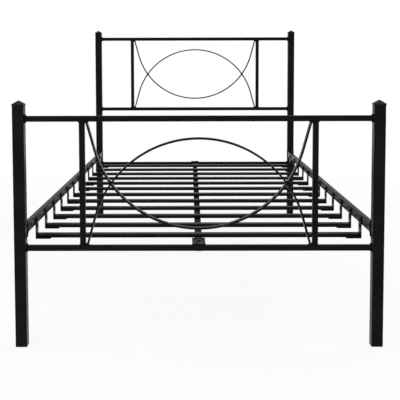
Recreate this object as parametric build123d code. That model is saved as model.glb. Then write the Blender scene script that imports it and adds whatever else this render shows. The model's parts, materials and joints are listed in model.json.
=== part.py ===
"""Single metal bed frame: two arched end panels, two side rails, a steel slat deck and a centre beam.

Millimetres. The origin is on the floor at the middle of the bed. +Z is up, +Y runs from the footboard
to the headboard, and +X is the right side for someone who stands at the footboard and looks at the bed.
Everything is welded or bolted together, so the frame is one body and nothing on it moves in use.
"""

from build123d import *
import math
import os

# ---------------------------------------------------------------- overall size
mattress_width = 900.0
mattress_length = 1900.0
mattress_end_play = 5.0  # free length at each end of the mattress

# ---------------------------------------------------------------- tube sections
post_size = 30.0
post_wall = 1.5
rail_size = 15.0
rail_wall = 1.2
side_rail_width = 15.0
side_rail_height = 25.0
beam_width = 20.0
beam_height = 20.0
beam_wall = 1.5
slat_width = 30.0
slat_height = 10.0
slat_wall = 1.0
tube_corner = 2.0  # outer corner radius of every tube

# ---------------------------------------------------------------- heights above the floor
base_rail_z = 260.0  # centre of the low cross rails of both ends
panel_pitch = 337.5  # centre to centre of a panel's lower and upper rails
head_panel_z = 527.0  # centre of the headboard panel's lower rail
foot_post_stub = 27.0  # post above the top of its upper rail
head_post_stub = 20.0
side_rail_z = 307.5
slat_top_z = 270.0

# ---------------------------------------------------------------- end panels
arch_radius = 280.0  # middle of the flat bar
arch_turn = 74.5  # degrees from the crown to where each straight leg starts
arch_crown_gap = 44.0  # middle of the bar at the crown, to the face of the rail it bends towards
arch_bar_thickness = 5.0
arch_bar_depth = 20.0
arch_strut_gap = 1.8  # foot of an arch to the face of the strut beside it
lap_clearance = 0.05  # all round, where the two arches of a panel are half lapped

# ---------------------------------------------------------------- post caps and leg plugs
cap_overhang = 1.0
cap_brim = 3.5
cap_chamfer = 0.8
cap_rise = 9.5
cap_tip = 3.0  # side of the small flat on top of the pyramid
cap_spigot = 14.0
plug_flange = 3.0
plug_spigot = 20.0
spigot_wall = 2.0
spigot_clearance = 0.2  # each side, inside the tube

# ---------------------------------------------------------------- side rail end plates
end_plate_thickness = 4.0
end_plate_height = 50.0
end_plate_corner = 7.0
end_plate_proud = 1.5  # how far the plate shows past the inner face of its post
end_bolt_pitch = 30.0

# ---------------------------------------------------------------- slats
slat_count = 12
first_slat = 160.0  # from the outer face of an end post to the middle of the nearest slat
slat_bracket_thickness = 3.0
slat_bracket_leg = 40.0  # reach of the bracket under the slat
slat_bracket_top_margin = 3.0  # top of the upright below the top of the side rail
slat_bracket_corner = 6.0
slat_end_gap = 0.5  # slat tube to the upright of its bracket

# ---------------------------------------------------------------- centre beam and its hooks
beam_setback = 64.0  # outer face of an end post to the end of the beam with its plug
hook_width = 35.0
hook_thickness = 4.0
hook_notch_width = 4.0
hook_notch_x = -7.0
hook_bolt_pitch = 25.0
hook_end_margin = 13.0  # last bolt to the end of the hook's tongue
beam_plug_flange = 2.0
beam_plug_spigot = 10.0
hook_screw_x = 6.0

# ---------------------------------------------------------------- fasteners
m6_shank = 6.0
m6_hole = 6.6
m6_nut_flats = 10.0
m6_nut_height = 5.0
m6_button_head = 10.5
m6_button_height = 3.3
m6_button_socket = 4.0
m6_head_height = 4.0
m6_washer_diameter = 12.0
m6_washer_thickness = 1.6
thread_clearance = 0.05
bolt_past_nut = 2.0
screw_shank = 4.0
screw_head = 8.0
screw_length = 12.0
screw_clearance = 0.05

# ---------------------------------------------------------------- worked out from the sizes above
post_x = mattress_width / 2 + post_size / 2
post_y = mattress_length / 2 + mattress_end_play + post_size / 2
inner_x = post_x - post_size / 2
inner_y = post_y - post_size / 2
rail_length = 2 * inner_x
foot_panel_z = base_rail_z
foot_post_top = foot_panel_z + panel_pitch + rail_size / 2 + foot_post_stub
head_post_top = head_panel_z + panel_pitch + rail_size / 2 + head_post_stub
side_rail_x = inner_x + side_rail_width / 2
side_rail_end = inner_y - end_plate_thickness
slat_z = slat_top_z - slat_height / 2
beam_z = slat_top_z - slat_height - beam_height / 2
beam_end = post_y + post_size / 2 - beam_setback
rail_top = base_rail_z + rail_size / 2
slat_first_y = post_y + post_size / 2 - first_slat
slat_pitch = 2 * slat_first_y / (slat_count - 1)
SIDES = {"left": -1, "right": 1}
ENDS = {"foot": -1, "head": 1}


def write(shapes, node):
    """Write one node, a solid or a group of separate solids."""
    solids = [solid for shape in shapes for solid in shape.solids()]
    export_step(solids[0] if len(solids) == 1 else Compound(children=solids), f"parts/{node}.step")


def tube_section(width, height, wall):
    inner_corner = max(tube_corner - wall, wall / 4)
    outside = RectangleRounded(width, height, tube_corner)
    inside = RectangleRounded(width - 2 * wall, height - 2 * wall, inner_corner)
    return outside - inside


def tube_along(axis_plane, width, height, wall, length):
    """A square-cut tube, centred on the plane's origin and running along its normal."""
    return extrude(axis_plane * tube_section(width, height, wall), amount=length / 2, both=True)


def cross_tube(length, height=rail_size, depth=rail_size, wall=rail_wall):
    """A tube along X. Its section is depth in Y and height in Z."""
    return tube_along(Plane.YZ, depth, height, wall, length)


def upright_tube(length, size, wall):
    return tube_along(Plane.XY, size, size, wall, length)


def lengthwise_tube(length, width, height, wall):
    return tube_along(Plane.XZ, width, height, wall, length)


def hex_prism(flats, height):
    return extrude(RegularPolygon(flats / 2, 6, major_radius=False), amount=height)


def disc(diameter, height):
    """A cylinder that stands on the XY plane."""
    return Cylinder(diameter / 2, height, align=(Align.CENTER, Align.CENTER, Align.MIN))


def hex_nut():
    """M6 nut on the XY plane."""
    return hex_prism(m6_nut_flats, m6_nut_height) - disc(m6_shank + 2 * thread_clearance, m6_nut_height)


def washer():
    return disc(m6_washer_diameter, m6_washer_thickness) - disc(m6_hole, m6_washer_thickness)


def shank(length):
    """A bolt's shank, hanging down from the XY plane, with a chamfered end."""
    body = Pos(0, 0, -length) * disc(m6_shank, length)
    return chamfer(body.faces().sort_by(Axis.Z)[0].edges(), m6_shank / 8)


def hex_bolt(grip):
    """M6 hexagon bolt with the underside of its head on the XY plane."""
    head = hex_prism(m6_nut_flats, m6_head_height)
    rounding = Cone(
        m6_nut_flats * 0.6 + m6_head_height, m6_nut_flats * 0.45, m6_head_height,
        align=(Align.CENTER, Align.CENTER, Align.MIN),
    )
    return (head & rounding) + shank(grip + m6_nut_height + bolt_past_nut)


def button_bolt(grip):
    """M6 button head socket bolt with the underside of its head on the XY plane."""
    head = disc(m6_button_head, m6_button_height)
    head = fillet(head.faces().sort_by(Axis.Z)[-1].edges(), m6_button_height * 0.75)
    socket_depth = m6_button_height * 0.6
    socket = Pos(0, 0, m6_button_height - socket_depth) * hex_prism(m6_button_socket, socket_depth)
    return head - socket + shank(grip + m6_nut_height + bolt_past_nut)


# ---------------------------------------------------------------- posts, caps and leg plugs
end_bolt_heights = [side_rail_z - end_bolt_pitch / 2, side_rail_z + end_bolt_pitch / 2]
# The bolts pass beside the side rail, in the middle of the strip that is left on the plate.
end_bolt_x = (inner_x + side_rail_width + post_x + post_size / 2) / 2


def post(side, end):
    top = foot_post_top if end < 0 else head_post_top
    length = top - plug_flange
    tube = Pos(side * post_x, end * post_y, plug_flange + length / 2) * upright_tube(length, post_size, post_wall)
    for z in end_bolt_heights:
        hole = Rot(90, 0, 0) * Cylinder(m6_hole / 2, 4 * post_wall)
        tube -= Pos(side * end_bolt_x, end * (inner_y + post_wall / 2), z) * hole
    return tube


def spigot(depth, inside):
    """A square ring that fits inside a tube, hanging down from the XY plane."""
    size = inside - 2 * spigot_clearance
    ring = Rectangle(size, size) - Rectangle(size - 2 * spigot_wall, size - 2 * spigot_wall)
    return extrude(ring, amount=-depth)


def post_cap(top):
    """Pressed cap: chamfered brim, shallow pyramid and a spigot down inside the post."""
    width = post_size + 2 * cap_overhang
    brim = extrude(RectangleRounded(width, width, tube_corner), amount=cap_brim)
    brim = chamfer(brim.faces().sort_by(Axis.Z)[0].edges(), cap_chamfer)
    base = Pos(0, 0, cap_brim) * RectangleRounded(width, width, tube_corner)
    tip = Pos(0, 0, cap_brim + cap_rise) * RectangleRounded(cap_tip, cap_tip, cap_tip / 4)
    pyramid = loft([base, tip])
    return Pos(0, 0, top) * (brim + pyramid + spigot(cap_spigot, post_size - 2 * post_wall))


def leg_plug():
    """Plastic plug under a post. The flange is the foot that stands on the floor."""
    flange = extrude(RectangleRounded(post_size, post_size, tube_corner), amount=plug_flange)
    flange = chamfer(flange.faces().sort_by(Axis.Z)[0].edges(), plug_flange / 6)
    body = Pos(0, 0, plug_flange + plug_spigot) * spigot(plug_spigot, post_size - 2 * post_wall)
    return flange + body


# ---------------------------------------------------------------- the arched panels
panel_clear_height = panel_pitch - rail_size
arch_rise = panel_clear_height - arch_crown_gap  # middle of the bar at the crown, above the feet
arch_turn_angle = math.radians(arch_turn)


def arc_point(radius, angle):
    """Point (x, z) on the round top of an arch whose middle line has its crown at z = 0."""
    return (radius * math.sin(angle), radius * math.cos(angle) - arch_radius)


def arch_foot(radius):
    """End (x, z) of the straight leg that leaves the round top on a tangent."""
    x, z = arc_point(radius, arch_turn_angle)
    return (x + (arch_rise + z) / math.tan(arch_turn_angle), -arch_rise)


strut_x = arch_foot(arch_radius + arch_bar_thickness / 2)[0] + arch_strut_gap + rail_size / 2


def arch_outline(thickness):
    """Face of an arch bar in the XZ plane: a round top and two straight legs, crown at z = 0."""
    outer, inner = arch_radius + thickness / 2, arch_radius - thickness / 2
    outer_right = [arc_point(outer, arch_turn_angle), arch_foot(outer)]
    inner_right = [arch_foot(inner), arc_point(inner, arch_turn_angle)]
    outer_left = [(-x, z) for x, z in reversed(outer_right)]
    inner_left = [(-x, z) for x, z in reversed(inner_right)]
    edges = [
        ThreePointArc(outer_left[-1], arc_point(outer, 0), outer_right[0]),
        Polyline(*outer_right, *inner_right),
        ThreePointArc(inner_right[-1], arc_point(inner, 0), inner_left[0]),
        Polyline(*inner_left, *outer_left),
    ]
    return make_face(edges)


def arch_bar(thickness, rising, middle_z):
    """Flat bar bent to an arch between the two rails of a panel whose middle is at middle_z."""
    bar = extrude(Plane.XZ * arch_outline(thickness), amount=arch_bar_depth / 2, both=True)
    bar = Pos(0, 0, arch_rise - panel_clear_height / 2) * bar
    if not rising:
        bar = bar.mirror(Plane.XY)
    return Pos(0, 0, middle_z) * bar


def panel_arches(end, middle_z):
    """The rising and the hanging arch, half lapped into each other where they cross."""
    lap = 2 * mattress_width
    slot = arch_bar_thickness + 2 * lap_clearance
    outer_half = Pos(0, end * lap / 2, middle_z) * Box(lap, lap, lap)
    inner_half = Pos(0, -end * lap / 2, middle_z) * Box(lap, lap, lap)
    rising = arch_bar(arch_bar_thickness, True, middle_z) - (arch_bar(slot, False, middle_z) & outer_half)
    hanging = arch_bar(arch_bar_thickness, False, middle_z) - (arch_bar(slot, True, middle_z) & inner_half)
    place = Pos(0, end * post_y, 0)
    return place * rising, place * hanging


def cross_rail(end, z):
    return Pos(0, end * post_y, z) * cross_tube(rail_length)


def strut(side, end, middle_z):
    return Pos(side * strut_x, end * post_y, middle_z) * upright_tube(panel_clear_height, rail_size, rail_wall)


# ---------------------------------------------------------------- side rails
slat_positions = [-slat_first_y + number * slat_pitch for number in range(slat_count)]
slat_bolt_z = side_rail_z  # in the middle of the side rail's inner wall


def side_rail(side):
    rail = lengthwise_tube(2 * side_rail_end, side_rail_width, side_rail_height, rail_wall)
    rail = Pos(side * side_rail_x, 0, side_rail_z) * rail
    for y in slat_positions:
        hole = Rot(0, 90, 0) * Cylinder(m6_hole / 2, 4 * rail_wall)
        rail -= Pos(side * (inner_x + rail_wall / 2), y, slat_bolt_z) * hole
    return rail


def end_plate(side, end):
    """Flat plate welded across the end of a side rail and bolted to the post."""
    outer_edge = post_x + post_size / 2
    inner_edge = inner_x - end_plate_proud
    face = RectangleRounded(outer_edge - inner_edge, end_plate_height, end_plate_corner)
    plate = extrude(Plane.XZ * face, amount=end_plate_thickness / 2, both=True)
    plate_y = inner_y - end_plate_thickness / 2
    plate = Pos(side * (outer_edge + inner_edge) / 2, end * plate_y, side_rail_z) * plate
    for z in end_bolt_heights:
        hole = Rot(90, 0, 0) * Cylinder(m6_hole / 2, 2 * end_plate_thickness)
        plate -= Pos(side * end_bolt_x, end * plate_y, z) * hole
    return plate


def along_y(end, shape):
    """Turn a fastener so that its head points from the post of this end towards the middle of the bed."""
    return Rot(90 * end, 0, 0) * shape


def end_fasteners(side, end):
    """Bolts, washers and the weld nuts inside the post, for one end plate."""
    plate_face = inner_y - end_plate_thickness
    grip = m6_washer_thickness + end_plate_thickness + post_wall
    bolts, washers, nuts = [], [], []
    for z in end_bolt_heights:
        x = side * end_bolt_x
        bolts.append(Pos(x, end * (plate_face - m6_washer_thickness), z) * along_y(end, hex_bolt(grip)))
        washers.append(Pos(x, end * plate_face, z) * along_y(end, washer()))
        nuts.append(Pos(x, end * (inner_y + post_wall + m6_nut_height), z) * along_y(end, hex_nut()))
    return bolts, washers, nuts


# ---------------------------------------------------------------- slats
def slat(y):
    length = 2 * (inner_x - slat_bracket_thickness - slat_end_gap)
    return Pos(0, y, slat_z) * cross_tube(length, slat_height, slat_width, slat_wall)


def slat_bracket(side, y):
    """L-shaped bracket: its low leg is welded under the slat, its upright is bolted to the side rail."""
    low = slat_top_z - slat_height - slat_bracket_thickness
    high = side_rail_z + side_rail_height / 2 - slat_bracket_top_margin
    upright = extrude(
        Plane.YZ * Rectangle(slat_width, high - low, align=(Align.CENTER, Align.MIN)),
        amount=slat_bracket_thickness,
    )
    corners = upright.edges().filter_by(Axis.X).group_by(Axis.Z)[-1]
    upright = Pos(-inner_x, 0, low) * fillet(corners, slat_bracket_corner)
    leg = Pos(-inner_x, 0, low) * Box(
        slat_bracket_leg, slat_width, slat_bracket_thickness, align=(Align.MIN, Align.CENTER, Align.MIN)
    )
    bracket = upright + leg
    bend = bracket.edges().filter_by(Axis.Y).sort_by(Axis.Z)[0:2].sort_by(Axis.X)[0]
    bracket = fillet(bend, slat_bracket_thickness * 0.8)
    bracket -= Pos(-inner_x, 0, slat_bolt_z) * Rot(0, 90, 0) * Cylinder(m6_hole / 2, 4 * slat_bracket_thickness)
    if side > 0:
        bracket = bracket.mirror(Plane.YZ)
    return Pos(0, y, 0) * bracket


def slat_fasteners(side, y):
    """Button bolt through the bracket into the weld nut inside the side rail."""
    bracket_face = inner_x - slat_bracket_thickness
    turn = Rot(0, -90 * side, 0)
    bolt = Pos(side * bracket_face, y, slat_bolt_z) * turn * button_bolt(slat_bracket_thickness + rail_wall)
    nut = Pos(side * (inner_x + rail_wall + m6_nut_height), y, slat_bolt_z) * turn * hex_nut()
    return bolt, nut


# ---------------------------------------------------------------- centre beam
beam_top = beam_z + beam_height / 2
beam_tube_end = beam_end - beam_plug_flange
hook_first_bolt = beam_end - beam_plug_flange - beam_plug_spigot - m6_nut_flats
hook_bolt_positions = [hook_first_bolt, hook_first_bolt - hook_bolt_pitch]
tongue_end = hook_bolt_positions[-1] - hook_end_margin


def centre_beam():
    beam = Pos(0, 0, beam_z) * lengthwise_tube(2 * beam_tube_end, beam_width, beam_height, beam_wall)
    for end in ENDS.values():
        for y in hook_bolt_positions:
            beam -= Pos(0, end * y, beam_top - beam_wall / 2) * Cylinder(m6_hole / 2, 4 * beam_wall)
    return beam


def beam_plug(end):
    flange = extrude(RectangleRounded(beam_width, beam_height, tube_corner), amount=beam_plug_flange)
    inside = min(beam_width, beam_height) - 2 * beam_wall
    plug = flange + spigot(beam_plug_spigot, inside)
    return Pos(0, end * beam_tube_end, beam_z) * Rot(-90 * end, 0, 0) * plug


def beam_hook(end):
    """Cranked plate: a notched flange on top of the cross rail and a tongue bolted on the beam."""
    rail_outer = post_y + rail_size / 2
    rail_inner = post_y - rail_size / 2
    web_inner = rail_inner - hook_thickness
    flange = Box(hook_width, rail_outer - web_inner, hook_thickness, align=(Align.CENTER, Align.MIN, Align.MIN))
    flange = Pos(0, web_inner, rail_top) * flange
    web_height = rail_top + hook_thickness - beam_top
    web = Box(hook_width, hook_thickness, web_height, align=(Align.CENTER, Align.MIN, Align.MIN))
    web = Pos(0, web_inner, beam_top) * web
    tongue = Box(
        hook_width, rail_inner - tongue_end, hook_thickness, align=(Align.CENTER, Align.MIN, Align.MIN)
    )
    tongue = Pos(0, tongue_end, beam_top) * tongue
    hook = flange + web + tongue
    notch = Box(hook_notch_width, rail_size, 4 * hook_thickness, align=(Align.CENTER, Align.MIN, Align.CENTER))
    hook -= Pos(hook_notch_x, rail_inner, rail_top) * notch
    hook -= Pos(hook_screw_x, post_y, rail_top + hook_thickness) * countersunk_screw(screw_clearance)
    for y in hook_bolt_positions:
        hook -= Pos(0, y, beam_top) * Cylinder(m6_hole / 2, 4 * hook_thickness)
    return hook if end > 0 else hook.mirror(Plane.XZ)


def countersunk_screw(clearance=0.0):
    """Flush screw with the flat of its head on the XY plane, or the hole for it, a clearance larger."""
    head_depth = (screw_head - screw_shank) / 2
    shank_radius = screw_shank / 2 + clearance
    head = Cone(
        shank_radius, screw_head / 2 + clearance, head_depth,
        align=(Align.CENTER, Align.CENTER, Align.MAX),
    )
    return head + Pos(0, 0, -screw_length) * disc(2 * shank_radius, screw_length)


def hook_fasteners(end):
    bolts, nuts = [], []
    for y in hook_bolt_positions:
        bolts.append(Pos(0, end * y, beam_top + hook_thickness) * button_bolt(hook_thickness + beam_wall))
        nuts.append(Pos(0, end * y, beam_top - beam_wall - m6_nut_height) * hex_nut())
    screw = Pos(hook_screw_x, end * post_y, rail_top + hook_thickness) * countersunk_screw()
    return bolts, nuts, screw


def hooked_rail(end):
    """A low cross rail with the pilot hole for the screw that holds the beam's hook down."""
    rail = cross_rail(end, base_rail_z)
    pilot = Cylinder(screw_shank / 2 + screw_clearance, 4 * rail_wall)
    return rail - Pos(hook_screw_x, end * post_y, rail_top - rail_wall / 2) * pilot


# ---------------------------------------------------------------- write the nodes
os.makedirs("parts", exist_ok=True)

end_bolts, end_washers, end_nuts = [], [], []
for end_name, end in ENDS.items():
    for side_name, side in SIDES.items():
        corner = f"{end_name}_{side_name}"
        top = foot_post_top if end < 0 else head_post_top
        place = Pos(side * post_x, end * post_y, 0)
        write([post(side, end)], f"post_{corner}")
        write([place * post_cap(top)], f"post_cap_{corner}")
        write([place * leg_plug()], f"leg_plug_{corner}")
        write([end_plate(side, end)], f"side_rail_plate_{corner}")
        bolts, washers, nuts = end_fasteners(side, end)
        end_bolts += bolts
        end_washers += washers
        end_nuts += nuts
write(end_bolts, "end_plate_bolts")
write(end_washers, "end_plate_washers")
write(end_nuts, "end_plate_weld_nuts")

for end_name, end in ENDS.items():
    panel_z = foot_panel_z if end < 0 else head_panel_z
    middle_z = panel_z + panel_pitch / 2
    if end < 0:
        write([hooked_rail(end)], "foot_lower_rail")
    else:
        write([cross_rail(end, panel_z)], "head_lower_rail")
        write([hooked_rail(end)], "head_base_rail")
    write([cross_rail(end, panel_z + panel_pitch)], f"{end_name}_upper_rail")
    for side_name, side in SIDES.items():
        write([strut(side, end, middle_z)], f"{end_name}_strut_{side_name}")
    rising, hanging = panel_arches(end, middle_z)
    write([rising], f"{end_name}_rising_arch")
    write([hanging], f"{end_name}_hanging_arch")

slat_bolts, slat_nuts = [], []
for side_name, side in SIDES.items():
    write([side_rail(side)], f"side_rail_{side_name}")
    write([slat_bracket(side, y) for y in slat_positions], f"slat_brackets_{side_name}")
    for y in slat_positions:
        bolt, nut = slat_fasteners(side, y)
        slat_bolts.append(bolt)
        slat_nuts.append(nut)
write(slat_bolts, "slat_bolts")
write(slat_nuts, "slat_weld_nuts")
for number, y in enumerate(slat_positions, start=1):
    write([slat(y)], f"slat_{number:02d}")

write([centre_beam()], "centre_beam")
beam_bolts, beam_nuts, beam_screws = [], [], []
for end_name, end in ENDS.items():
    write([beam_hook(end)], f"beam_hook_{end_name}")
    write([beam_plug(end)], f"beam_plug_{end_name}")
    bolts, nuts, screw = hook_fasteners(end)
    beam_bolts += bolts
    beam_nuts += nuts
    beam_screws.append(screw)
write(beam_bolts, "beam_hook_bolts")
write(beam_nuts, "beam_weld_nuts")
write(beam_screws, "beam_hook_screws")
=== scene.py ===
"""Looks of the single metal bed frame: powder-coated steel, welds, a plain studio and the camera.

Metres, in the frame of the CAD model: the origin on the floor at the middle of the bed, +Y to the headboard.
"""

import json
import math

import bpy
from mathutils import Matrix, Vector


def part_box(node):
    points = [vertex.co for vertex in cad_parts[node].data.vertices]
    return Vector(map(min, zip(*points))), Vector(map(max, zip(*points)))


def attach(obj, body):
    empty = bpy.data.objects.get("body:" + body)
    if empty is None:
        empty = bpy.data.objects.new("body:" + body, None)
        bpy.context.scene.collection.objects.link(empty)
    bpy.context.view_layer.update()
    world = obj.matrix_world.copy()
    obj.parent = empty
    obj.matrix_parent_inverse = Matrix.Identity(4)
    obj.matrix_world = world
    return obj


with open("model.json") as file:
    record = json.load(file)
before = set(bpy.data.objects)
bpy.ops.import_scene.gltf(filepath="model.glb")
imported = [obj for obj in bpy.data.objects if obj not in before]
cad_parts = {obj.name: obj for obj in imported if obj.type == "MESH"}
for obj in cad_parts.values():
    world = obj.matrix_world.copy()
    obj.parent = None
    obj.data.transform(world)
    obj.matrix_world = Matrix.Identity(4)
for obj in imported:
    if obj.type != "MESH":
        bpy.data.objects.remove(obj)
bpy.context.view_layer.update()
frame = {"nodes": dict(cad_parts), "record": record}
nodes = frame["nodes"]

MM = 0.001
X, Y, Z = range(3)
ENDS = (-1, 1)
SIDES = {"left": -1, "right": 1}
PANELS = ("foot", "head")
CROSS_RAILS = ("foot_lower_rail", "foot_upper_rail", "head_base_rail", "head_lower_rail", "head_upper_rail")

# ---------------------------------------------------------------- camera
CAMERA_LENS = 76.39  # mm
CAMERA_SENSOR = 36.0  # mm, its width
CAMERA_PLACE = (-0.0214, -3.1567, 0.7303)
CAMERA_PITCH = 4.10  # degrees down
CAMERA_YAW = -0.27  # degrees to the right
CAMERA_ROLL = -0.13  # degrees, clockwise as the camera sees it
CAMERA_SHIFT = (0.0338, -0.1806)

# ---------------------------------------------------------------- finishes
# Linear colours, dark then pale. Patterns are noise, and their scales are waves to the metre.
# In the coat the pale colour follows the orange peel as painted highlights, and the slow cloud as random
# tone.
COAT_TONE_AND_PAINTED_PEEL_HIGHLIGHTS = ((0.0040, 0.0041, 0.0043), (0.0082, 0.0083, 0.0087))
COAT_PEEL = 430.0
COAT_CLOUD = 9.0
COAT_PEEL_DEPTH = 0.08 * MM
PLASTIC_COLOURS = ((0.0055, 0.0056, 0.0058), (0.0095, 0.0096, 0.0098))
PLASTIC_GRAIN = 1400.0
PLASTIC_CLOUD = 14.0
OXIDE_COLOURS = ((0.008, 0.008, 0.009), (0.040, 0.039, 0.038))
OXIDE_SCUFFS = 900.0
OXIDE_CLOUD = 160.0
ZINC_COLOURS = ((0.42, 0.43, 0.44), (0.66, 0.66, 0.63))
ZINC_SPANGLE = 220.0
ZINC_GRAIN = 1500.0
GRAIN_DEPTH = 0.010 * MM

# ---------------------------------------------------------------- welds
POST_BEAD = 2.4 * MM  # radius, where a cross rail butts on a post
TUBE_BEAD = 1.5 * MM  # where a strut or an arch butts on a rail, and where two arches cross
FILL_BEAD = 2.6 * MM  # in the narrow gap between a strut and the foot of an arch
BRACKET_BEAD = 1.8 * MM  # where a side rail butts on its end plate, and across a slat bracket
BEAD_SINK = 0.45  # share of the radius by which a bead stands off its corner
FILL_RISE = 0.7  # share of its radius by which a filling bead stands off the rail
BEAD_STEP = 0.4 * MM
BEAD_SIDES = 8
BEAD_SEED = 7
RIPPLE_PITCH = 1.6 * MM
RIPPLE_DEPTH = 0.10  # share of the radius
RIPPLE_CHANCE = 0.5  # share of the ripple's depth by which each ring of a bead varies at random
TUBE_CORNER = 2.0 * MM
CORNER_POINTS = 4  # on each rounded corner that a bead goes round
FOOT_LEVEL = 0.01 * MM  # corners of an arch this near to its end are its feet
LAP_BAND = 3.5 * MM  # half the height of the band in which an arch is measured at a crossing
LAP_X = 3.5 * MM  # from the middle of a crossing of two arches to the beads at its sides
LAP_Z = 4.7 * MM  # and to those above and below it

# ---------------------------------------------------------------- studio
WHITE = (1, 1, 1, 1)
ROOM_LIGHT = 0.75  # strength of the world for all that is lit by it
BACKDROP = (0.155, 0.175)  # heights of a unit vector between which the white backdrop ends
DIM_BAND = 0.14  # strength of the band above it
SOFTBOX = (0.28, 0.50)  # heights between which the softbox overhead begins
SOFTBOX_LIGHT = 0.86  # what it adds to the dim band
FLOOR_HALF = 30.0  # half the side of the square floor
FLOOR_PAINT = (0.86, 0.86, 0.86, 1)
FLOOR_GLOW = 0.86  # share of plain white in the floor under the bed
FLOOR_NEAR, FLOOR_FAR = 1.2, 3.6  # where that share starts to rise, and where it is all
LAMP_SIZE = 2.5
LAMP_AIM = (0, 0, 0.3)
LAMPS = {"key_lamp": ((-2.4, -3.0, 3.2), 60), "fill_lamp": ((3.0, 1.5, 3.0), 40)}  # place and watts


# ================================================================ shader maths
MIX_DARK, MIX_LIGHT, MIX_COLOUR = 6, 7, 2  # the colour sockets of a Mix node


class Wire:
    """One output socket. Arithmetic on wires adds Math nodes."""

    def __init__(self, shader, socket):
        self.shader = shader
        self.socket = socket

    def _math(self, operation, other):
        return self.shader.node("ShaderNodeMath", {"operation": operation}, {0: self, 1: other})

    def __add__(self, other):
        return self._math("ADD", other)

    def __mul__(self, other):
        return self._math("MULTIPLY", other)

    __radd__ = __add__
    __rmul__ = __mul__


class Shader:
    """The shader tree of a material or of the world."""

    def __init__(self, owner):
        owner.use_nodes = True
        self.tree = owner.node_tree
        self.tree.nodes.clear()

    def node(self, kind, settings, inputs, output=0):
        """Add a node, set it, and fill its sockets with values or wires. Its output comes back as a wire."""
        made = self.tree.nodes.new(kind)
        for name, value in settings.items():
            setattr(made, name, value)
        for key, value in inputs.items():
            if isinstance(value, Wire):
                self.tree.links.new(value.socket, made.inputs[key])
            else:
                made.inputs[key].default_value = value
        return None if output is None else Wire(self, made.outputs[output])

    def place(self):
        """Where on the object a point is, and in the world the direction in which one looks."""
        return self.node("ShaderNodeTexCoord", {}, {}, "Object")

    def noise(self, scale, detail=2.0, roughness=0.5):
        return self.node(
            "ShaderNodeTexNoise", {},
            {"Vector": self.place(), "Scale": scale, "Detail": detail, "Roughness": roughness},
        )

    def ramp(self, value, low, high, first=0.0, last=1.0, kind="LINEAR"):
        """First below low, last above high."""
        return self.node(
            "ShaderNodeMapRange", {"interpolation_type": kind},
            {"Value": value, "From Min": low, "From Max": high, "To Min": first, "To Max": last},
        )

    def colour_mix(self, factor, dark, light):
        return self.node(
            "ShaderNodeMix", {"data_type": "RGBA"},
            {"Factor": factor, MIX_DARK: (*dark, 1), MIX_LIGHT: (*light, 1)}, MIX_COLOUR,
        )

    def bump(self, height, distance):
        return self.node("ShaderNodeBump", {}, {"Height": height, "Distance": distance})

    def seen(self):
        """1 for what the camera sees, straight on, in a reflection or through glass."""
        kinds = ("Is Camera Ray", "Is Glossy Ray", "Is Transmission Ray")
        camera, glossy, clear = (self.node("ShaderNodeLightPath", {}, {}, kind) for kind in kinds)
        return camera + glossy + clear

    def background(self, strength):
        return self.node("ShaderNodeBackground", {}, {"Color": WHITE, "Strength": strength})

    def mix(self, factor, first, second):
        return self.node("ShaderNodeMixShader", {}, {0: factor, 1: first, 2: second})

    def principled(self, **sockets):
        names = {name.replace("_", " "): value for name, value in sockets.items()}
        return self.node("ShaderNodeBsdfPrincipled", {}, names)

    def finish(self, surface, kind="ShaderNodeOutputMaterial"):
        self.node(kind, {}, {"Surface": surface}, None)


def material(name, build):
    """A material whose surface is what build returns for its empty shader tree."""
    made = bpy.data.materials.new(name)
    shader = Shader(made)
    shader.finish(build(shader))
    return made


# ================================================================ finishes
def powder_coat(shader):
    """Satin black powder coat: fine orange peel and a slow change of gloss over the surface. Its colour is
    mottled by the slow cloud as random tone and by the peel as painted highlights.
    """
    peel = shader.noise(COAT_PEEL, detail=3.0)
    cloud = shader.noise(COAT_CLOUD, detail=4.0, roughness=0.6)
    # Painted highlights of the orange peel, mixed half and half with a slow random tone.
    cloud_tone_and_painted_peel_highlights = shader.ramp(0.5 * cloud + 0.5 * peel, low=0.38, high=0.62)
    return shader.principled(
        Base_Color=shader.colour_mix(cloud_tone_and_painted_peel_highlights, *COAT_TONE_AND_PAINTED_PEEL_HIGHLIGHTS),
        Roughness=0.26 + 0.07 * shader.ramp(cloud, low=0.3, high=0.75),
        IOR=1.12,
        Normal=shader.bump(peel, COAT_PEEL_DEPTH),
    )


def moulded_plastic(shader):
    """Fine-grained black polyethylene, a little duller and greyer than the coat."""
    grain = shader.noise(PLASTIC_GRAIN)
    cloud = shader.noise(PLASTIC_CLOUD, detail=3.0)
    return shader.principled(
        Base_Color=shader.colour_mix(cloud, *PLASTIC_COLOURS),
        Roughness=0.36 + 0.12 * cloud,
        IOR=1.20,
        Normal=shader.bump(grain, GRAIN_DEPTH),
    )


def black_oxide(shader):
    """Blackened steel with bright scuffs."""
    scuffs = shader.noise(OXIDE_SCUFFS, detail=5.0, roughness=0.7)
    cloud = shader.noise(OXIDE_CLOUD, detail=3.0)
    worn = shader.ramp(scuffs, low=0.5, high=0.8)
    return shader.principled(
        Base_Color=shader.colour_mix(worn, *OXIDE_COLOURS),
        Roughness=0.34 + 0.22 * cloud,
        IOR=1.40,
        Normal=shader.bump(scuffs, GRAIN_DEPTH),
    )


def zinc_plate(shader):
    """Bright zinc with a faint spangle."""
    spangle = shader.noise(ZINC_SPANGLE, detail=4.0, roughness=0.6)
    grain = shader.noise(ZINC_GRAIN)
    return shader.principled(
        Base_Color=shader.colour_mix(spangle, *ZINC_COLOURS),
        Metallic=1.0,
        Roughness=0.28 + 0.2 * spangle,
        Normal=shader.bump(grain, GRAIN_DEPTH),
    )


FINISHES = {
    "powder_coat": material("satin_powder_coat", powder_coat),
    "black_plastic": material("moulded_black_plastic", moulded_plastic),
    "black_steel": material("black_oxide_steel", black_oxide),
    "plated_steel": material("bright_zinc_plate", zinc_plate),
}


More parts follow.
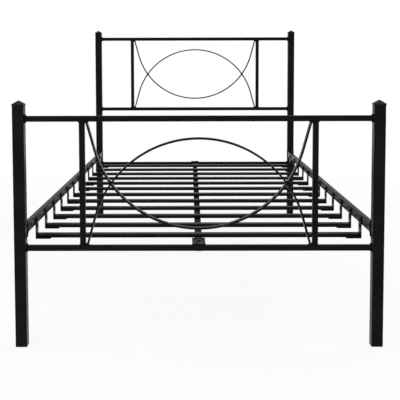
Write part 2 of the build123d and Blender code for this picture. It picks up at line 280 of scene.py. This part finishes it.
def dress_cad_nodes():
    """Give every CAD node the finish of its material slot."""
    for part in frame["record"]["subparts"]:
        for place in nodes[part["node"]].material_slots:
            place.material = FINISHES[part["material_slot"]]


# ================================================================ welds
class GeometryTree:
    """A Geometry Nodes tree that is built in Python."""

    def __init__(self, name):
        self.tree = bpy.data.node_groups.new(name, "GeometryNodeTree")
        self.tree.interface.new_socket("Geometry", in_out="INPUT", socket_type="NodeSocketGeometry")
        self.tree.interface.new_socket("Geometry", in_out="OUTPUT", socket_type="NodeSocketGeometry")
        self.identifiers = {}
        self.source = self.tree.nodes.new("NodeGroupInput")
        self.result = self.tree.nodes.new("NodeGroupOutput")

    def size(self, name, kind="NodeSocketFloat"):
        """A named input of the tree, as the socket that carries it."""
        made = self.tree.interface.new_socket(name, in_out="INPUT", socket_type=kind)
        self.identifiers[name] = made.identifier
        return self.source.outputs[name]

    def node(self, kind, settings, inputs, output=0):
        """Add a node, set it, and fill its sockets with values or links. Its output socket comes back."""
        made = self.tree.nodes.new(kind)
        for name, value in settings.items():
            setattr(made, name, value)
        for key, value in inputs.items():
            if isinstance(value, bpy.types.NodeSocket):
                self.tree.links.new(value, made.inputs[key])
            else:
                made.inputs[key].default_value = value
        return made.outputs[output]

    def calculate(self, operation, *values):
        return self.node("ShaderNodeMath", {"operation": operation}, dict(enumerate(values)))

    def apply(self, piece, values):
        """Run the tree on a piece and leave the result as its plain mesh."""
        modifier = piece.modifiers.new("tree", "NODES")
        modifier.node_group = self.tree
        for name, value in values.items():
            modifier[self.identifiers[name]] = value
        graph = bpy.context.evaluated_depsgraph_get()
        made = bpy.data.meshes.new_from_object(piece.evaluated_get(graph))
        piece.modifiers.remove(modifier)
        piece.data = made


def bead_tree(finish):
    """A rippled weld bead along every edge line of the mesh that it gets, as thick as its points say."""
    tree = GeometryTree("weld_bead")
    step = tree.size("Step")
    pitch = tree.size("Ripple pitch")
    depth = tree.size("Ripple depth")
    share = tree.size("Ripple chance")
    sides = tree.size("Sides", "NodeSocketInt")
    seed = tree.size("Seed", "NodeSocketInt")
    lines = tree.node("GeometryNodeMeshToCurve", {}, {"Mesh": tree.source.outputs["Geometry"]})
    lines = tree.node("GeometryNodeResampleCurve", {"mode": "LENGTH"}, {"Curve": lines, "Length": step})
    radius = tree.node("GeometryNodeInputNamedAttribute", {"data_type": "FLOAT"}, {"Name": "bead_radius"})
    along = tree.node("GeometryNodeSplineParameter", {}, {}, "Length")
    turns = tree.calculate("DIVIDE", along, pitch)
    wave = tree.calculate("SINE", tree.calculate("MULTIPLY", turns, 2 * math.pi))
    chance = tree.node(
        "FunctionNodeRandomValue", {"data_type": "FLOAT"}, {"Min": -1.0, "Max": 1.0, "Seed": seed}, 1
    )
    uneven = tree.calculate("ADD", wave, tree.calculate("MULTIPLY", chance, share))
    swell = tree.calculate("ADD", 1.0, tree.calculate("MULTIPLY", uneven, depth))
    scale = tree.calculate("MULTIPLY", radius, swell)
    ring = tree.node("GeometryNodeCurvePrimitiveCircle", {}, {"Resolution": sides, "Radius": 1.0})
    bead = tree.node(
        "GeometryNodeCurveToMesh", {},
        {"Curve": lines, "Profile Curve": ring, "Scale": scale, "Fill Caps": True},
    )
    bead = tree.node("GeometryNodeSetShadeSmooth", {}, {"Geometry": bead})
    bead = tree.node("GeometryNodeRealizeInstances", {}, {"Geometry": bead})
    bead = tree.node("GeometryNodeSetMaterial", {}, {"Geometry": bead, "Material": finish})
    tree.tree.links.new(bead, tree.result.inputs["Geometry"])
    return tree


def rounded_loop(centre, first, second, half_first, half_second, corner):
    """Points of a rounded rectangle about centre, in the plane of the unit vectors first and second."""
    points = []
    for quarter, (sign_a, sign_b) in enumerate(((1, 1), (-1, 1), (-1, -1), (1, -1))):
        for step in range(CORNER_POINTS):
            angle = math.pi / 2 * (quarter + step / (CORNER_POINTS - 1))
            a = sign_a * (half_first - corner) + corner * math.cos(angle)
            b = sign_b * (half_second - corner) + corner * math.sin(angle)
            points.append(centre + first * a + second * b)
    return points


class WeldLines:
    """The lines that all the weld beads follow."""

    def __init__(self):
        self.points = []
        self.radii = []
        self.edges = []

    def add(self, radius, points, closed=False):
        start = len(self.points)
        self.points += points
        count = len(points)
        self.radii += [radius] * count
        self.edges += [(start + i, start + i + 1) for i in range(count - 1)]
        if closed:
            self.edges.append((start + count - 1, start))

    def across(self, radius, x, z, near_y, far_y):
        """A straight bead along Y."""
        self.add(radius, [Vector((x, y, z)) for y in (near_y, far_y)])

    def round_tube(self, radius, node, axis, end):
        """A bead round one end of a straight tube, in the corner that it makes with what it butts on."""
        low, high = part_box(node)
        stand_off = radius * BEAD_SINK
        others = [i for i in (X, Y, Z) if i != axis]
        centre = (low + high) / 2
        centre[axis] = (high[axis] - stand_off) if end > 0 else (low[axis] + stand_off)
        first, second = (Vector([float(i == other) for i in (X, Y, Z)]) for other in others)
        half = [(high[other] - low[other]) / 2 + stand_off for other in others]
        self.add(radius, rounded_loop(centre, first, second, *half, TUBE_CORNER + stand_off), closed=True)


def vertices_of(node):
    return [vertex.co.copy() for vertex in nodes[node].data.vertices]


def arch_feet(arch, rising):
    """For each foot of an arch, left then right: its side, its height, and its lowest and highest x."""
    low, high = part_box(arch)
    foot_z = low.z if rising else high.z
    feet = [p for p in vertices_of(arch) if abs(p.z - foot_z) < FOOT_LEVEL]
    for side in SIDES.values():
        own = [p.x for p in feet if p.x * side > 0]
        yield side, foot_z, min(own), max(own)


def weld_feet(lines, panel, arch, rising):
    """Beads on both sides of each foot of an arch. The outer one fills the gap between foot and strut."""
    rail_low, rail_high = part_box(f"{panel}_upper_rail")
    ends = (rail_low.y + TUBE_CORNER, rail_high.y - TUBE_CORNER)
    struts = {-1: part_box(f"{panel}_strut_left")[1].x, 1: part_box(f"{panel}_strut_right")[0].x}
    stand_off = TUBE_BEAD * BEAD_SINK
    up = 1 if rising else -1
    for side, foot_z, low_x, high_x in arch_feet(arch, rising):
        inner_x, outer_x = (low_x, high_x) if side > 0 else (high_x, low_x)
        lines.across(TUBE_BEAD, inner_x - side * stand_off, foot_z + up * stand_off, *ends)
        lines.across(FILL_BEAD, (outer_x + struts[side]) / 2, foot_z + up * FILL_BEAD * FILL_RISE, *ends)


def weld_crossings(lines, rising_arch, hanging_arch):
    """Beads in the four corners of each crossing of two arches."""
    low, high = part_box(rising_arch)
    other_low, other_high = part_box(hanging_arch)
    middle_z = (min(low.z, other_low.z) + max(high.z, other_high.z)) / 2
    ends = (low.y + TUBE_BEAD, high.y - TUBE_BEAD)
    lap = [p.x for p in vertices_of(rising_arch) if abs(p.z - middle_z) < LAP_BAND]
    for side in SIDES.values():
        own = [x for x in lap if x * side > 0]
        middle_x = (min(own) + max(own)) / 2
        for dx, dz in ((LAP_X, 0), (-LAP_X, 0), (0, LAP_Z), (0, -LAP_Z)):
            lines.across(TUBE_BEAD, middle_x + dx, middle_z + dz, *ends)


def weld_brackets(lines, side_name, side):
    """A bead across the end of each slat bracket, under the slat."""
    low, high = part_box(f"slat_brackets_{side_name}")
    inner_x = low.x if side > 0 else high.x
    stand_off = BRACKET_BEAD * BEAD_SINK
    for slat in sorted(name for name in nodes if name.removeprefix("slat_").isdigit()):
        slat_low, slat_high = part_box(slat)
        ends = (slat_low.y + TUBE_CORNER, slat_high.y - TUBE_CORNER)
        lines.across(BRACKET_BEAD, inner_x - side * stand_off, slat_low.z - stand_off, *ends)


def weld_lines():
    """The lines of every weld: both panels, then the side rails and their slat brackets."""
    lines = WeldLines()
    for rail in CROSS_RAILS:
        for end in ENDS:
            lines.round_tube(POST_BEAD, rail, X, end)
    for panel in PANELS:
        for side_name in SIDES:
            for end in ENDS:
                lines.round_tube(TUBE_BEAD, f"{panel}_strut_{side_name}", Z, end)
        rising_arch, hanging_arch = f"{panel}_rising_arch", f"{panel}_hanging_arch"
        weld_feet(lines, panel, rising_arch, rising=True)
        weld_feet(lines, panel, hanging_arch, rising=False)
        weld_crossings(lines, rising_arch, hanging_arch)
    for side_name, side in SIDES.items():
        for end in ENDS:
            lines.round_tube(BRACKET_BEAD, f"side_rail_{side_name}", Y, end)
        weld_brackets(lines, side_name, side)
    return lines


def make_welds():
    """All the weld beads of the frame, as one piece."""
    lines = weld_lines()
    mesh = bpy.data.meshes.new("weld_beads")
    mesh.from_pydata([tuple(p) for p in lines.points], lines.edges, [])
    mesh.attributes.new("bead_radius", "FLOAT", "POINT").data.foreach_set("value", lines.radii)
    piece = bpy.data.objects.new("weld_beads", mesh)
    bpy.context.scene.collection.objects.link(piece)
    bead_tree(FINISHES["powder_coat"]).apply(piece, {
        "Step": BEAD_STEP, "Ripple pitch": RIPPLE_PITCH, "Ripple depth": RIPPLE_DEPTH,
        "Ripple chance": RIPPLE_CHANCE, "Sides": BEAD_SIDES, "Seed": BEAD_SEED,
    })
    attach(piece, "root")


# ================================================================ studio
def floor_paint(shader):
    """Pale paint that keeps the shadow near the bed and fades to plain white far from it."""
    paint = shader.node("ShaderNodeBsdfDiffuse", {}, {"Color": FLOOR_PAINT})
    white = shader.node("ShaderNodeEmission", {}, {"Color": WHITE, "Strength": 1.0})
    away = shader.node("ShaderNodeVectorMath", {"operation": "LENGTH"}, {0: shader.place()}, "Value")
    share = shader.ramp(away, FLOOR_NEAR, FLOOR_FAR, FLOOR_GLOW, 1.0, "SMOOTHSTEP")
    return shader.mix(shader.seen() * share, paint, white)


def make_floor():
    """The square floor that the bed stands on."""
    corners = [(x * FLOOR_HALF, y * FLOOR_HALF, 0) for x, y in ((-1, -1), (1, -1), (1, 1), (-1, 1))]
    mesh = bpy.data.meshes.new("studio_floor")
    mesh.from_pydata(corners, [], [(0, 1, 2, 3)])
    mesh.materials.append(material("studio_floor", floor_paint))
    floor = bpy.data.objects.new("studio_floor", mesh)
    bpy.context.scene.collection.objects.link(floor)


def make_world():
    """A white backdrop all round, a dim band and a softbox above it, and plain light for the rest."""
    world = bpy.data.worlds.new("studio")
    shader = Shader(world)
    height = shader.node("ShaderNodeSeparateXYZ", {}, {"Vector": shader.place()}, "Z")
    backdrop = shader.ramp(height, *BACKDROP, 1.0, DIM_BAND, "SMOOTHSTEP")
    softbox = shader.ramp(height, *SOFTBOX, 0.0, SOFTBOX_LIGHT, "SMOOTHSTEP")
    room = shader.mix(shader.seen(), shader.background(ROOM_LIGHT), shader.background(backdrop + softbox))
    shader.finish(room, "ShaderNodeOutputWorld")
    bpy.context.scene.world = world


def make_lamps():
    """Two soft round lamps, both turned to the bed."""
    for name, (place, power) in LAMPS.items():
        data = bpy.data.lights.new(name, "AREA")
        data.shape = "DISK"
        data.size = LAMP_SIZE
        data.energy = power
        lamp = bpy.data.objects.new(name, data)
        bpy.context.scene.collection.objects.link(lamp)
        lamp.location = place
        lamp.rotation_euler = (Vector(LAMP_AIM) - Vector(place)).to_track_quat("-Z", "Y").to_euler()


def make_camera():
    """A camera before the footboard, a little above it."""
    data = bpy.data.cameras.new("camera")
    data.lens = CAMERA_LENS
    data.sensor_width = CAMERA_SENSOR
    data.shift_x, data.shift_y = CAMERA_SHIFT
    camera = bpy.data.objects.new("camera", data)
    bpy.context.scene.collection.objects.link(camera)
    aim = Matrix.Rotation(math.radians(-CAMERA_YAW), 4, "Z")
    aim = aim @ Matrix.Rotation(math.radians(90 - CAMERA_PITCH), 4, "X")
    aim = aim @ Matrix.Rotation(math.radians(CAMERA_ROLL), 4, "Z")
    camera.matrix_world = Matrix.Translation(CAMERA_PLACE) @ aim
    bpy.context.scene.camera = camera


dress_cad_nodes()
make_welds()
make_floor()
make_world()
make_lamps()
make_camera()
bpy.context.scene.view_settings.view_transform = "Standard"
